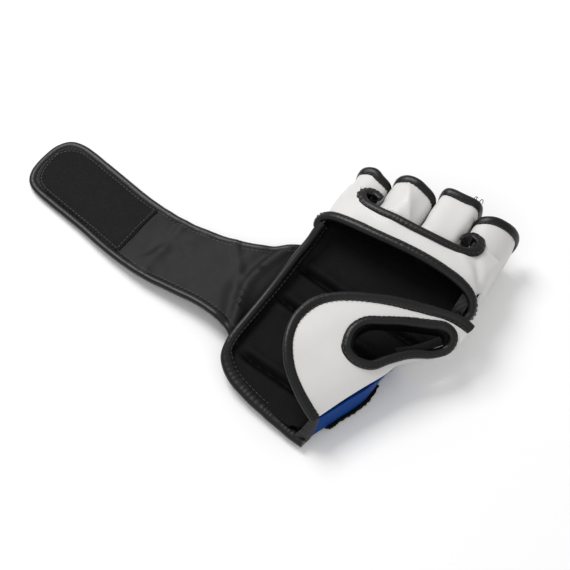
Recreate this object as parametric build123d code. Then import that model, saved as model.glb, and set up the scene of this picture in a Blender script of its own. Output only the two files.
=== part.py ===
from build123d import *
import math
import os

# MMA training glove for a right hand, lying on its back with the palm side up.
# Frame: millimetres, +Z up out of the palm, +Y from wrist to fingers, +X towards the thumb.
# The origin is the middle of the flat patch under the knuckle pad that the glove rests on.

# ---- driving dimensions ----
COVER_T = 2.0            # synthetic leather shell
LINING_T = 1.2           # fabric lining
LAYER_GAP = 0.15         # air between two sewn layers
CHANNEL_W = 2.4          # flex channel between two foam blocks
BINDING_R = 4.0          # rolled binding along the open edge of the shell
WRIST_END_Y = -146.0
PALM_END_Y = 24.5        # where the finger sleeves begin
BAND_END_Y = 20.5        # free distal edge of the palm band
FINGER_HINGE_Y = 26.9
BODY_GAP = 0.4           # air between two pieces that move past each other

# The padded back of the hand, station by station from wrist to knuckles:
# y, ulnar edge x and z, radial edge x and z, underside z, lining z
BACK_STATIONS = [
    (-146, -55.5, 8.0, 12.5, 21.5, 2.4, 8.6),
    (-120, -57.0, 9.5, 26.8, 23.3, 2.4, 9.8),
    (-95, -58.5, 11.0, 40.5, 23.3, 2.6, 11.5),
    (-65, -55.0, 15.0, 57.0, 23.3, 3.0, 14.5),
    (-40, -53.0, 18.5, 68.0, 23.3, 2.5, 17.0),
    (-22, -50.5, 23.0, 69.5, 23.8, 1.0, 21.0),
    (-10, -50.0, 28.0, 70.0, 33.0, 0.0, 25.0),
    (-3, -50.0, 37.4, 70.0, 33.0, 0.0, 26.0),
    (PALM_END_Y, -50.0, 37.4, 70.0, 33.0, 0.0, 28.0)]
CUFF_SEAM_Y = -62.0      # blue cuff panel meets the white back panel
CHANNELS_Y = (-39.5, -65.0, -112.0)

# Wrist side of the cuff in plan, from the ulnar corner to the radial corner
WRIST_EDGE = [(-66, -104), (-54.8, -113.5), (-44.8, -123.3), (-27, -129.6), (-4.5, -134.2), (17, -136.8)]
EDGE_BEAD = [(-48.2, -12, 32.6), (-49.0, -22, 28.6), (-51.4, -40, 24.2), (-53.6, -65, 20.6),
             (-56.6, -90, 17.2), (-58.2, -104, 15.8), (-56.2, -117, 11.6), (-47.6, -127.4, 8.4),
             (-28, -133.8, 6.2), (-6, -138.4, 5.4), (17, -141, 5.0)]

# Palm band: arch of its outer face, from the ulnar wall over the palm to the radial wall
BAND_ARCH = [(-50, 38.8), (-49.7, 40.4), (-46.5, 44), (-40, 47), (-27, 50.2), (-5, 52.5), (20, 53.3),
             (40, 52), (55, 48.8), (64, 44), (69, 38), (69.9, 36), (70, 34.4)]
BAND_FREE_EDGE = [(-54, -11), (-48, -7), (-38, -5.5), (-10, -5), (30, -5), (52, -6),
                  (64, -9), (71, -16), (74, -22)]
BINDING_W = 8.0          # width of the bindings on flat edges
BINDING_PROUD = 0.8      # how far a binding stands above the leather

# Thumb flap: hinge line along the radial edge, and the profile of its outer face as
# distance in from the hinge line and height
FLAP_ROOT = (23.0, -127.0)
FLAP_DIRECTION = (51.0, 93.0)
FLAP_PROFILE = [(0, 27.6), (5, 31.6), (12, 36), (22, 40.5), (34, 44), (48, 47), (62, 48.6), (80, 49.6)]
FLAP_T = 2.2
FLAP_LINING_T = 1.2
FLAP_EDGE = [(21, -131), (5, -124.5), (-8, -117.5), (-18, -108), (-24.5, -97), (-26, -84),
             (-21.5, -69), (-12, -58), (0, -50), (12, -43.5), (28, -36), (45, -30), (62, -26), (77, -24)]
FLAP_EDGE_INNER = [(24, -124), (9, -118), (-3, -111), (-12, -103), (-17, -94), (-18, -84),
                   (-14, -73), (-6, -64.5), (5, -56), (15.5, -49.5), (31, -43), (47, -37), (63, -33),
                   (78, -31)]
THUMB_HOLE_OUTER = [(10, -79), (9, -70), (14, -60), (24, -52.5), (36, -47), (48, -42), (60, -38.5),
                    (67, -40), (67.5, -46), (61, -53.5), (50, -63), (41, -74), (33, -85), (23, -90),
                    (14, -87)]
THUMB_HOLE_INNER = [(16.5, -77), (15.5, -70), (19.5, -63.5), (28, -58), (38, -53), (49, -48),
                    (58, -45), (61.5, -46), (59, -50.5), (46, -61), (37, -71), (30, -80), (24, -83.5),
                    (18.5, -82.5)]

# Finger sleeves: name, x from, x to, top z, tip y
FINGERS = [
    ("little", -47.6, -23.2, 41.5, 46.0),
    ("ring", -22.7, 9.0, 45.6, 52.0),
    ("middle", 9.5, 39.2, 46.2, 59.0),
    ("index", 39.7, 69.4, 44.0, 58.0)]
FINGER_BOTTOM_Z = 6.0
FINGER_PAD_TOP_Z = 23.0
FINGER_CORNER_R = 9.0
TIP_BINDING_W = 7.0

# Wrist strap: hinge lines run at FOLD_ANGLE in plan; distances are measured square to them
FOLD_ANGLE = 76.0
FOLD_POINT = (-67.8, -64.0)
STRAP_STATIONS = [(0, 17.5), (50, 12.5), (93, 8.7), (140.5, 6.5), (171.5, 5.7), (200, 5.5)]
STRAP_FLARE_LIMIT = [(-57, -38.5), (-82, -36.5), (-84, 0), (-40, 0)]   # flare that stays with the glove
STRAP_BINDING_T = 5.0
STRAP_LINING_DROP = 0.8  # lining lies this far below the crown of the binding
STRAP_FOAM_T = 1.4
STRAP_COVER_T = 1.3
HOOK_START = 97.0        # hook panel begins this far along the strap
HOOK_INSET = 9.0
STRAP_EDGE = [(-30, 0), (-59, -21), (-76, -32), (-97, -39), (-120, -42.5), (-145, -43),
              (-173, -40), (-202, -34), (-232, -27.5), (-248, -28), (-257.5, -37), (-261.5, -53),
              (-259.5, -69), (-251, -77.5), (-232, -81.5), (-203, -87), (-173, -94), (-144, -97.5),
              (-120, -97.5), (-95, -97.5), (-72, -101), (-58, -108), (-30, -125)]
STRAP_ROOT_LIMIT = [(-52.5, -20), (-54.5, -40), (-58, -65), (-61.2, -90), (-62.8, -104),
                    (-62.8, -112), (-120, -112), (-120, -20)]  # the strap is sewn on outside this line

LOOP_PATCH = (-22.0, 34.0, -124.0, -84.0)   # x from, x to, y from, y to
LOOP_PATCH_T = 2.1


# ---- section helpers ----
def toward(start, end, distance):
    """Point at a distance from start on the way to end."""
    length = math.dist(start, end)
    return tuple(s + (e - s) * distance / length for s, e in zip(start, end))


def back_section(station):
    """Underside and lining corners of one station of the padded back, ulnar to radial.

    Each side is a curved wall of four points; the floor between the walls is straight."""
    _, ulnar_x, ulnar_z, radial_x, radial_z, base, top = station
    ulnar_rise = ulnar_z - base
    radial_rise = radial_z - base
    under = [(ulnar_x, ulnar_z), (ulnar_x - 0.3, base + 0.62 * ulnar_rise),
             (ulnar_x + 4.5, base + 0.24 * ulnar_rise), (ulnar_x + 15, base),
             (radial_x - 15, base), (radial_x - 3.5, base + 0.24 * radial_rise),
             (radial_x + 2, base + 0.65 * radial_rise), (radial_x, radial_z)]
    lined = [(ulnar_x + 4, ulnar_z + 0.6), (ulnar_x + 5, top + 0.45 * (ulnar_z - top)),
             (ulnar_x + 10, top + 0.12 * (ulnar_z - top)), (ulnar_x + 20, top),
             (radial_x - 18, top), (radial_x - 9, top + 0.12 * (radial_z - top)),
             (radial_x - 4.6, top + 0.5 * (radial_z - top)), (radial_x - 4, radial_z)]
    return under, lined


def layer(from_under, from_lined, stations):
    """Solid between two depths of the padded back.

    Each depth is (side, distance): measured from the underside or from the lining face."""
    wires = []
    for station in stations:
        under, lined = back_section(station)
        low = [(x, station[0], z) for x, z in depth_curve(under, lined, from_under)]
        high = [(x, station[0], z) for x, z in depth_curve(under, lined, from_lined)]
        high.reverse()
        wires.append(Wire([Spline(*low[:4]), Line(low[3], low[4]), Spline(*low[4:]), Line(low[-1], high[0]),
                           Spline(*high[:4]), Line(high[3], high[4]), Spline(*high[4:]),
                           Line(high[-1], low[0])]))
    return Solid.make_loft(wires, True)


def depth_curve(under, lined, depth):
    side, distance = depth
    if side == "under":
        return [toward(a, b, distance) if distance else a for a, b in zip(under, lined)]
    return [toward(b, a, distance) if distance else b for a, b in zip(under, lined)]


def plan_prism(outline, low=-20, high=80):
    """Upright prism over a closed plan outline of wires or points."""
    return Pos(0, 0, low) * extrude(make_face(outline), amount=high - low)


def plan_loop(points):
    return Spline(*points, periodic=True)


def box_between(x0, x1, y0, y1, z0, z1):
    return Pos((x0 + x1) / 2, (y0 + y1) / 2, (z0 + z1) / 2) * Box(x1 - x0, y1 - y0, z1 - z0)


def offset_profile(points, distance):
    """Open profile moved sideways by a distance; positive lifts a left-to-right profile."""
    moved = []
    for i, point in enumerate(points):
        before = points[max(i - 1, 0)]
        after = points[min(i + 1, len(points) - 1)]
        run, rise = after[0] - before[0], after[1] - before[1]
        length = math.hypot(run, rise)
        moved.append((point[0] - rise / length * distance, point[1] + run / length * distance))
    return moved


def sheet_face(plane, points, low, high):
    """Closed face between two offsets of an open profile, drawn on a plane."""
    bottom = offset_profile(points, low)
    top = offset_profile(points, high)
    outline = [Spline(*bottom), Line(bottom[-1], top[-1]), Spline(*reversed(top)), Line(top[0], bottom[0])]
    return plane * make_face(outline)


def largest(shape):
    return max(shape.solids(), key=lambda solid: solid.volume)


def save(name, shape):
    solid = largest(shape)
    solid.label = name
    export_step(solid, f"parts/{name}.step")


# ---- padded back of the hand ----
def station_at(y):
    """Station of the padded back at any place along the hand."""
    for near, far in zip(BACK_STATIONS, BACK_STATIONS[1:]):
        if near[0] <= y <= far[0]:
            share = (y - near[0]) / (far[0] - near[0])
            return tuple(a + (b - a) * share for a, b in zip(near, far))
    raise ValueError(f"no station at {y}")


def stretch(near_y, far_y):
    """Stations that span one stretch of the hand."""
    between = [station for station in BACK_STATIONS if near_y < station[0] < far_y]
    return [station_at(near_y), *between, station_at(far_y)]


def make_back():
    keep = wrist_cut()
    skin = (("under", 0), ("under", COVER_T))
    foam = (("under", COVER_T + LAYER_GAP), ("lined", LINING_T + LAYER_GAP))
    save("back_cover", layer(*skin, stretch(CUFF_SEAM_Y, PALM_END_Y)))
    save("cuff_cover", layer(*skin, stretch(WRIST_END_Y, CUFF_SEAM_Y - LAYER_GAP)) & keep)
    save("back_lining", layer(("lined", LINING_T), ("lined", 0), BACK_STATIONS) & keep)
    limits = [PALM_END_Y, *CHANNELS_Y]
    for name, far, near in zip(("knuckle_pad", "hand_back_pad", "wrist_pad"), limits, limits[1:]):
        block = layer(*foam, stretch(near + CHANNEL_W / 2, far - CHANNEL_W / 2))
        save(name, block & keep if name == "wrist_pad" else block)
    save("cuff_pad", layer(*foam, stretch(WRIST_END_Y, CHANNELS_Y[-1] - CHANNEL_W / 2)) & keep)
    path = Spline(*EDGE_BEAD)
    section = Plane(origin=path @ 0, z_dir=path % 0) * Circle(BINDING_R)
    save("edge_binding", sweep(section, path=path))


def wrist_cut():
    """Plan outline that the padded back keeps: everything inside the wrist edge."""
    edge = Spline(*WRIST_EDGE)
    rest = Polyline(WRIST_EDGE[-1], (30, -136.8), (120, -136.8), (120, 60), (-100, 60), WRIST_EDGE[0])
    return plan_prism([edge, rest])


def make_loop_patch():
    x0, x1, y0, y1 = LOOP_PATCH
    block = box_between(x0, x1, y0, y1, 0, LOOP_PATCH_T)
    slant = make_face(Polyline((x0, y0), (24, y0), (x1, y0 + 26), (x1, y1), (x0, y1), (x0, y0)))
    save("loop_patch", block & (Pos(0, 0, -1) * extrude(slant, amount=LOOP_PATCH_T + 2)))


# ---- palm band ----
def band_region(inset):
    """Plan of the palm band, its free edges moved in by an inset."""
    free = [(x, y + inset) for x, y in BAND_FREE_EDGE]
    far_y = BAND_END_Y - inset
    rest = Polyline(free[-1], (free[-1][0], far_y), (free[0][0], far_y), free[0])
    return [Spline(*free), rest]


def make_band():
    plane = Plane(origin=(0, 40, 0), x_dir=(1, 0, 0), z_dir=(0, -1, 0))
    outer = plan_prism(band_region(0))
    inner = plan_prism(band_region(BINDING_W))
    leather = extrude(sheet_face(plane, BAND_ARCH, -COVER_T, 0), amount=80)
    lined = extrude(sheet_face(plane, BAND_ARCH, -COVER_T - LINING_T, -COVER_T), amount=80)
    bound = extrude(sheet_face(plane, BAND_ARCH, -COVER_T - LINING_T - 0.4, BINDING_PROUD), amount=80)
    rim = (bound & outer) - inner
    near = box_between(-90, 90, -60, 7, -10, 80)
    save("palm_band", leather & inner)
    save("palm_band_lining", lined & inner)
    save("palm_band_binding", rim & near)
    save("slot_binding", rim - near)


def make_elastic_tab():
    """Short elastic between the band's radial end and the back, beside the thumb flap."""
    profile = [(-9, 37.5), (-13, 35.5), (-18, 31.5), (-21, 27.6)]
    plane = Plane(origin=(57, 0, 0), x_dir=(0, 1, 0), z_dir=(1, 0, 0))
    save("elastic_tab", extrude(sheet_face(plane, list(reversed(profile)), 0, 1.4), amount=6))


# ---- thumb flap ----
def make_thumb_flap():
    length = math.hypot(*FLAP_DIRECTION)
    along = (FLAP_DIRECTION[0] / length, FLAP_DIRECTION[1] / length)
    inward = (-along[1], along[0], 0)
    start = (FLAP_ROOT[0] - 30 * along[0], FLAP_ROOT[1] - 30 * along[1], 0)
    plane = Plane(origin=start, x_dir=inward, z_dir=(along[0], along[1], 0))
    run = length + 60
    sheets = {}
    depths = {"leather": (-FLAP_T, 0), "lining": (-FLAP_T - FLAP_LINING_T, -FLAP_T),
              "binding": (-FLAP_T - FLAP_LINING_T - 0.6, BINDING_PROUD)}
    for name, (low, high) in depths.items():
        sheets[name] = extrude(sheet_face(plane, FLAP_PROFILE, low, high), amount=run)
    close = [(90, -10), (90, -160), (20, -160)]
    outline = plan_prism([Spline(*FLAP_EDGE), Polyline(FLAP_EDGE[-1], *close, FLAP_EDGE[0])])
    field = plan_prism([Spline(*FLAP_EDGE_INNER),
                        Polyline(FLAP_EDGE_INNER[-1], (95, -32), (95, -160), (24, -160), FLAP_EDGE_INNER[0])])
    end = box_between(-60, 76, -150, 0, 0, 80)
    hole_rim = plan_prism(plan_loop(THUMB_HOLE_OUTER))
    hole = plan_prism(plan_loop(THUMB_HOLE_INNER))
    field = (field & outline & end) - hole_rim
    save("thumb_panel", sheets["leather"] & field)
    save("thumb_lining", sheets["lining"] & field)
    save("thumb_edge_binding", ((sheets["binding"] & outline & end) - field) - hole_rim)
    save("thumb_hole_binding", (sheets["binding"] & hole_rim & end) - hole)


# ---- finger sleeves ----
def rounded_section(x0, x1, z0, z1, radius, y):
    plane = Plane(origin=((x0 + x1) / 2, y, (z0 + z1) / 2), x_dir=(1, 0, 0), z_dir=(0, -1, 0))
    return plane * RectangleRounded(x1 - x0, z1 - z0, radius)


def tube_block(x0, x1, z0, z1, radius, y0, y1):
    return extrude(rounded_section(x0, x1, z0, z1, radius, y1), amount=y1 - y0)


def make_finger(name, x0, x1, top, tip):
    start = FINGER_HINGE_Y + BODY_GAP
    seam = tip - TIP_BINDING_W
    body = tube_block(x0, x1, FINGER_BOTTOM_Z, top, FINGER_CORNER_R, start, tip)
    skin = COVER_T
    inside = tube_block(x0 + skin, x1 - skin, FINGER_BOTTOM_Z + skin, top - skin,
                        FINGER_CORNER_R - skin, start - 5, tip + 5)
    reach = skin + LINING_T
    bore = tube_block(x0 + reach, x1 - reach, FINGER_PAD_TOP_Z + LINING_T, top - reach,
                      FINGER_CORNER_R - reach, start - 5, tip + 5)
    shaft = box_between(-90, 90, start - 1, seam, -10, 80)
    below = box_between(-90, 90, start - 1, seam, -10, FINGER_PAD_TOP_Z - LAYER_GAP)
    above = box_between(-90, 90, start - 1, seam, FINGER_PAD_TOP_Z, 80)
    save(f"{name}_sleeve", (body & shaft) - inside)
    save(f"{name}_pad", inside & below & body)
    save(f"{name}_lining", (inside & above & body) - bore)
    save(f"{name}_tip_binding", (body - shaft) - bore)


# ---- wrist strap ----
def strap_plane():
    angle = math.radians(FOLD_ANGLE)
    along = (math.cos(angle), math.sin(angle), 0)
    outward = (-math.sin(angle), math.cos(angle), 0)
    reach = 120
    origin = (FOLD_POINT[0] - reach * along[0], FOLD_POINT[1] - reach * along[1], 0)
    return Plane(origin=origin, x_dir=outward, z_dir=along), 2 * reach


def strap_slab(start, end, low, high):
    """Flat plate of the strap from one station to the next, between two depths below its crown."""
    plane, reach = strap_plane()
    run, drop = end[0] - start[0], end[1] - start[1]
    length = math.hypot(run, drop)
    side = (drop / length, -run / length)
    corners = [(start[0] + side[0] * low, start[1] + side[1] * low),
               (end[0] + side[0] * low, end[1] + side[1] * low),
               (end[0] + side[0] * high, end[1] + side[1] * high),
               (start[0] + side[0] * high, start[1] + side[1] * high)]
    face = plane * make_face(Polyline(*corners, corners[0]))
    return extrude(face, amount=reach)


def strap_prism(inset):
    """Upright prism over the strap's plan, its sewn edge moved in by an inset."""
    edge = offset_profile(STRAP_EDGE, inset)
    return plan_prism([Spline(*edge), Line(edge[-1], edge[0])])


def make_strap():
    outline = strap_prism(0)
    inner = strap_prism(BINDING_W)
    hook = strap_prism(HOOK_INSET)
    lining_low = STRAP_LINING_DROP + LINING_T
    foam_low = lining_low + STRAP_FOAM_T
    cover_low = foam_low + STRAP_COVER_T
    flare = plan_prism(Polyline(*STRAP_FLARE_LIMIT, STRAP_FLARE_LIMIT[0]))
    pairs = list(zip(STRAP_STATIONS, STRAP_STATIONS[1:]))
    for number, (near, far) in enumerate(pairs, 1):
        start = toward(near, far, BODY_GAP)
        end = toward(far, near, BODY_GAP)
        name = f"strap_{number}"
        binding = strap_slab(start, end, 0, STRAP_BINDING_T) & outline
        save_all(f"{name}_binding", binding - inner - flare if number == 1 else binding - inner)
        layers = {"lining": (STRAP_LINING_DROP, lining_low), "foam": (lining_low, foam_low),
                  "cover": (foam_low, cover_low)}
        for kind, (high, low) in layers.items():
            sheet = strap_slab(start, end, high, low) & inner
            save(f"{name}_{kind}", sheet - flare if number == 1 else sheet)
        if far[0] > HOOK_START:
            begin = start if near[0] > HOOK_START else toward(near, far, HOOK_START - near[0])
            save(f"hook_panel_{number}", strap_slab(begin, end, 0.1, STRAP_LINING_DROP) & hook)
    root_start = (-24, STRAP_STATIONS[0][1] + 1)
    root_end = toward(STRAP_STATIONS[0], root_start, BODY_GAP)
    root = strap_slab(root_start, root_end, STRAP_LINING_DROP, cover_low) & outline
    save("strap_root", root & plan_prism(Polyline(*STRAP_ROOT_LIMIT, STRAP_ROOT_LIMIT[0])))


def save_all(name, shape):
    """A node of several separate solids, such as the two edge bindings of one strap length."""
    group = Compound(label=name, children=[Solid(solid.wrapped) for solid in shape.solids()])
    export_step(group, f"parts/{name}.step")


os.makedirs("parts", exist_ok=True)
make_back()
make_loop_patch()
make_band()
make_elastic_tab()
make_thumb_flap()
for finger in FINGERS:
    make_finger(*finger)
make_strap()
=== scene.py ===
import math

import bpy
import numpy as np
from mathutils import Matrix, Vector, noise


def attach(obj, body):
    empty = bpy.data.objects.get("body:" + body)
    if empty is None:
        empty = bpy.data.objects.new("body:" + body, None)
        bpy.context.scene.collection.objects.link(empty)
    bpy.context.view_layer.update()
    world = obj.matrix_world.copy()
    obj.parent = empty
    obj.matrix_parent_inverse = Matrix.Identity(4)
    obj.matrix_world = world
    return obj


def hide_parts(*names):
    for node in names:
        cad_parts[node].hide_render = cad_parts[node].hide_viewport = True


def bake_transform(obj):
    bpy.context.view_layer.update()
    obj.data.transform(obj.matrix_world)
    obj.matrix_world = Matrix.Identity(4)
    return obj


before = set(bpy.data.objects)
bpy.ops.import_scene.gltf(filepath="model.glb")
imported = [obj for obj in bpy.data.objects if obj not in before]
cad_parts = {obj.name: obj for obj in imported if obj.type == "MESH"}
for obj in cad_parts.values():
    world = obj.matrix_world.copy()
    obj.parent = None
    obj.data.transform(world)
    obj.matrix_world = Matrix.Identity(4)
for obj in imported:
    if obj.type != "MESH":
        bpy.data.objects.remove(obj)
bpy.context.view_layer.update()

# MMA glove lying on its back, palm up. Lengths in this script are millimetres in the frame of the
# CAD part (+Z out of the palm, +Y to the fingers, +X to the thumb); meshes are made in metres.
MM = 0.001

# ---- shared measurements ----
UP = np.array([0.0, 0.0, 1.0])

# The thumb flap's hinge line starts at a root; its profile is (distance in from that line, height)
FLAP_ROOT = np.array([23.0, -127.0])
FLAP_ALONG = np.array([51.0, 93.0]) / math.hypot(51, 93)
FLAP_INWARD = np.array([-FLAP_ALONG[1], FLAP_ALONG[0]])
FLAP_PROFILE = [
    (-5, 24.4), (0, 27.2), (5, 31.2), (12, 35.8), (22, 40.4), (34, 44), (48, 47), (62, 48.6),
    (80, 49.6)]

# The strap leaves the hand at a fold; its crown is (distance out from the fold, height)
FOLD_ANGLE = math.radians(76)
FOLD_POINT = np.array([-67.8, -64.0])
FOLD_ALONG = np.array([math.cos(FOLD_ANGLE), math.sin(FOLD_ANGLE)])
FOLD_OUT = np.array([-math.sin(FOLD_ANGLE), math.cos(FOLD_ANGLE)])
STRAP_CROWN = [
    (-30, 7), (-17, 11.4), (-7, 15.8), (0, 17.3), (12, 16.6), (50, 12.3), (93, 8.6), (140.5, 6.4),
    (171.5, 5.7), (200, 5.5)]
STRAP_JOINTS = [0.0, 50.0, 93.0, 140.5, 171.5]

# The padded back: y, ulnar rim x and z, thumb-side rim x and z, heights of underside and lining
BACK_STATIONS = [
    (-146, -55.5, 8.0, 12.5, 21.5, 2.4, 8.6),
    (-120, -57.0, 9.5, 26.2, 23.3, 2.4, 9.8),
    (-95, -58.5, 11.0, 37.4, 23.3, 2.6, 11.5),
    (-65, -55.0, 15.0, 47.5, 23.3, 3.0, 14.5),
    (-40, -53.0, 18.5, 66.0, 23.3, 2.5, 17.0),
    (-22, -50.5, 23.0, 69.5, 24.8, 1.0, 21.0),
    (-10, -50.0, 30.0, 69.5, 31.0, 0.0, 24.0),
    (-3, -49.5, 36.0, 69.5, 33.0, 0.0, 25.5),
    (26, -48.5, 36.0, 69.0, 33.0, 0.2, 27.0)]

# Quilting grooves of the back
COVER_GROOVES_Y = (-39.5, -16.0, 6.0)
COVER_GROOVES_X = (-22.5, 9.5, 39.5)
CUFF_GROOVE_Y = -112.0
LINING_GROOVES_Y = (-39.5, -65.5, -112.5)

# Thickness of the leather and of the linings
SHELL_THICK = 1.4
BAND_THICK = 1.5
SLEEVE_THICK = 1.6
FLAP_THICK = 1.7
BACK_LINING_THICK = 1.1

# Width and height of the folded tapes over the edges
EDGE_TAPE = (7.2, 5.6)
BAND_TAPE = (6.6, 5.0)
SLOT_TAPE = (5.8, 4.4)
TIP_TAPE = (7.2, 5.2)
FLAP_TAPE = (7.4, 5.0)
HOLE_TAPE = (6.6, 5.0)
STRAP_TAPE = (6.4, 4.6)

# Edges that turn by more than this are shaded sharp
SHARP_ANGLE = math.radians(48)


# ---- curves and meshes ----
def through(points, count, closed=False):
    """Evenly spaced points on a smooth curve through given points."""
    pts = np.array(points, float)
    if closed:
        ends = np.vstack([pts[-1], pts, pts[0], pts[1]])
    else:
        ends = np.vstack([2 * pts[0] - pts[1], pts, 2 * pts[-1] - pts[-2]])
    t = np.linspace(0, 1, 24, endpoint=False)[:, None]
    spans = []
    for p0, p1, p2, p3 in zip(ends, ends[1:], ends[2:], ends[3:]):
        spans.append(0.5 * (2 * p1 + (p2 - p0) * t + (2 * p0 - 5 * p1 + 4 * p2 - p3) * t ** 2
                            + (3 * p1 - p0 - 3 * p2 + p3) * t ** 3))
    dense = np.vstack(spans + [ends[-2:-1]])
    run = run_along(dense)
    where = np.linspace(0, run[-1], count + 1)[:-1] if closed else np.linspace(0, run[-1], count)
    return np.stack([np.interp(where, run, dense[:, k]) for k in range(dense.shape[1])], axis=1)


def smooth_value(points, where):
    """Smooth function of one variable through given (place, value) pairs."""
    curve = through(points, 200)
    return np.interp(where, curve[:, 0], curve[:, 1])


def ease(value, low, high):
    """Smooth step from 0 at low to 1 at high."""
    t = np.clip((value - low) / (high - low), 0, 1)
    return t * t * (3 - 2 * t)


def bump_at(value, centre, width):
    """Bell-shaped bump of height 1."""
    return np.exp(-((value - centre) / width) ** 2)


def ripple(points, size, seed=0.0):
    """Soft noise, about -1 to 1, at each point of an array."""
    flat = points.reshape(-1, 3)
    shift = Vector((seed, 2.3 * seed, 5.1))
    values = [noise.noise(Vector(p) / size + shift) for p in flat]
    return np.array(values).reshape(points.shape[:-1])


def unit(vectors):
    return vectors / np.maximum(np.linalg.norm(vectors, axis=-1, keepdims=True), 1e-9)


def grid_normals(grid, closed=False):
    """Unit normals of a grid of points."""
    if closed:
        across = np.roll(grid, -1, axis=1) - np.roll(grid, 1, axis=1)
    else:
        across = np.gradient(grid, axis=1)
    return unit(np.cross(across, np.gradient(grid, axis=0)))


def quads(rows, cols, closed, start, flip):
    """Faces over a grid whose vertices are numbered from start."""
    faces = []
    for i in range(rows - 1):
        for j in range(cols if closed else cols - 1):
            k = (j + 1) % cols
            face = [i * cols + j, i * cols + k, (i + 1) * cols + k, (i + 1) * cols + j]
            faces.append([start + v for v in (reversed(face) if flip else face)])
    return faces


def make_object(name, vertices, faces, material):
    """Smooth-shaded object from vertices in millimetres."""
    mesh = bpy.data.meshes.new(name)
    mesh.from_pydata((np.array(vertices) * MM).tolist(), [], faces)
    mesh.materials.append(material)
    mesh.validate()
    mesh.shade_smooth()
    mesh.set_sharp_from_angle(angle=SHARP_ANGLE)
    obj = bpy.data.objects.new(name, mesh)
    bpy.context.scene.collection.objects.link(obj)
    return obj


def face_out(grid, outward, closed=False):
    """1 or -1: the sign that turns the normals of a grid to its outer side."""
    return 1 if np.sum(grid_normals(grid, closed) * outward) > 0 else -1


def sheet(name, grid, thick, material, outward, closed=False):
    """Closed sheet with its outer face on a grid and its inner face a thickness behind it."""
    rows, cols = grid.shape[:2]
    outside = face_out(grid, outward, closed)
    back = grid - outside * thick * grid_normals(grid, closed)
    vertices = np.vstack([grid.reshape(-1, 3), back.reshape(-1, 3)])
    total = rows * cols
    faces = quads(rows, cols, closed, 0, outside < 0) + quads(rows, cols, closed, total, outside > 0)
    rims = [list(range(cols)), [(rows - 1) * cols + j for j in range(cols)][::-1]]
    if closed:
        rims = [rim + rim[:1] for rim in rims]
    else:
        rims = [rims[0] + [i * cols + cols - 1 for i in range(1, rows)] + rims[1][1:]
                + [i * cols for i in range(rows - 2, -1, -1)]]
    for rim in rims:
        for a, b in zip(rim, rim[1:]):
            face = [b, a, a + total, b + total]
            faces.append(face[::-1] if outside < 0 else face)
    return make_object(name, vertices, faces, material)


def tube(name, rings, material):
    """Closed skin over rings of points, its ends filled."""
    rows, cols = rings.shape[:2]
    vertices = np.vstack([rings.reshape(-1, 3), rings[0].mean(axis=0), rings[-1].mean(axis=0)])
    faces = quads(rows, cols, True, 0, False)
    for j in range(cols):
        k = (j + 1) % cols
        faces.append([k, j, rows * cols])
        faces.append([(rows - 1) * cols + j, (rows - 1) * cols + k, rows * cols + 1])
    return make_object(name, vertices, faces, material)


def loop_tube(name, rings, material):
    """Ring-shaped skin: the last ring joins the first."""
    rows, cols = rings.shape[:2]
    faces = quads(rows, cols, True, 0, False)
    for j in range(cols):
        k = (j + 1) % cols
        faces.append([(rows - 1) * cols + j, (rows - 1) * cols + k, k, j])
    return make_object(name, rings.reshape(-1, 3), faces, material)


def frames_on(path, normals, closed=False):
    """Tangent, sideways and upward directions along a path on a sheet."""
    if closed:
        along = unit(np.roll(path, -1, axis=0) - np.roll(path, 1, axis=0))
    else:
        along = unit(np.gradient(path, axis=0))
    side = unit(np.cross(along, normals))
    return along, side, np.cross(side, along)


BINDING_SECTION = [(math.cos(a), math.sin(a)) for a in np.linspace(0, 2 * math.pi, 16, endpoint=False)]


def run_along(path):
    """Length along a path at each of its points."""
    return np.concatenate([[0], np.cumsum(np.linalg.norm(np.diff(path, axis=0), axis=1))])


def binding(name, path, normals, width, height, material, closed=False, pucker=0.3, seed=0.0, seam=-1):
    """Folded leather tape over an edge: a flattened roll, puckered and pressed flat along its seam side."""
    _, side, up = frames_on(path, normals, closed)
    run = run_along(path)
    width = np.broadcast_to(width, len(path))
    pucker = np.broadcast_to(pucker, len(path))
    rings = []
    for i, centre in enumerate(path):
        wobble = noise.noise(Vector((run[i] / 9, seed, 0)))
        slow = noise.noise(Vector((run[i] / 23, seed, 4)))
        wave = (abs(math.sin(run[i] * 0.85 + 3.0 * wobble)) - 0.6) * (1 + 1.2 * slow)
        ring = []
        for c, s in BINDING_SECTION:
            wide = width[i] / 2 * np.sign(c) * abs(c) ** 0.8 * (1 + 0.05 * wobble + 0.05 * slow)
            high = height / 2 * np.sign(s) * abs(s) ** 0.75
            flat = max(0.0, c * seam)
            high = high * (1 - 0.42 * flat ** 0.5) + pucker[i] * wave * (0.25 + flat) * np.sign(s)
            ring.append(centre + side[i] * wide + up[i] * high)
        rings.append(ring)
    rings = np.array(rings)
    return loop_tube(name, rings, material) if closed else tube(name, rings, material)


# Rings of one stitch: shares of its length and of its radius
STITCH_RINGS = ((-0.5, 0.35), (-0.3, 1.0), (0.3, 1.0), (0.5, 0.35))
STITCH_SIDES = 6


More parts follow.
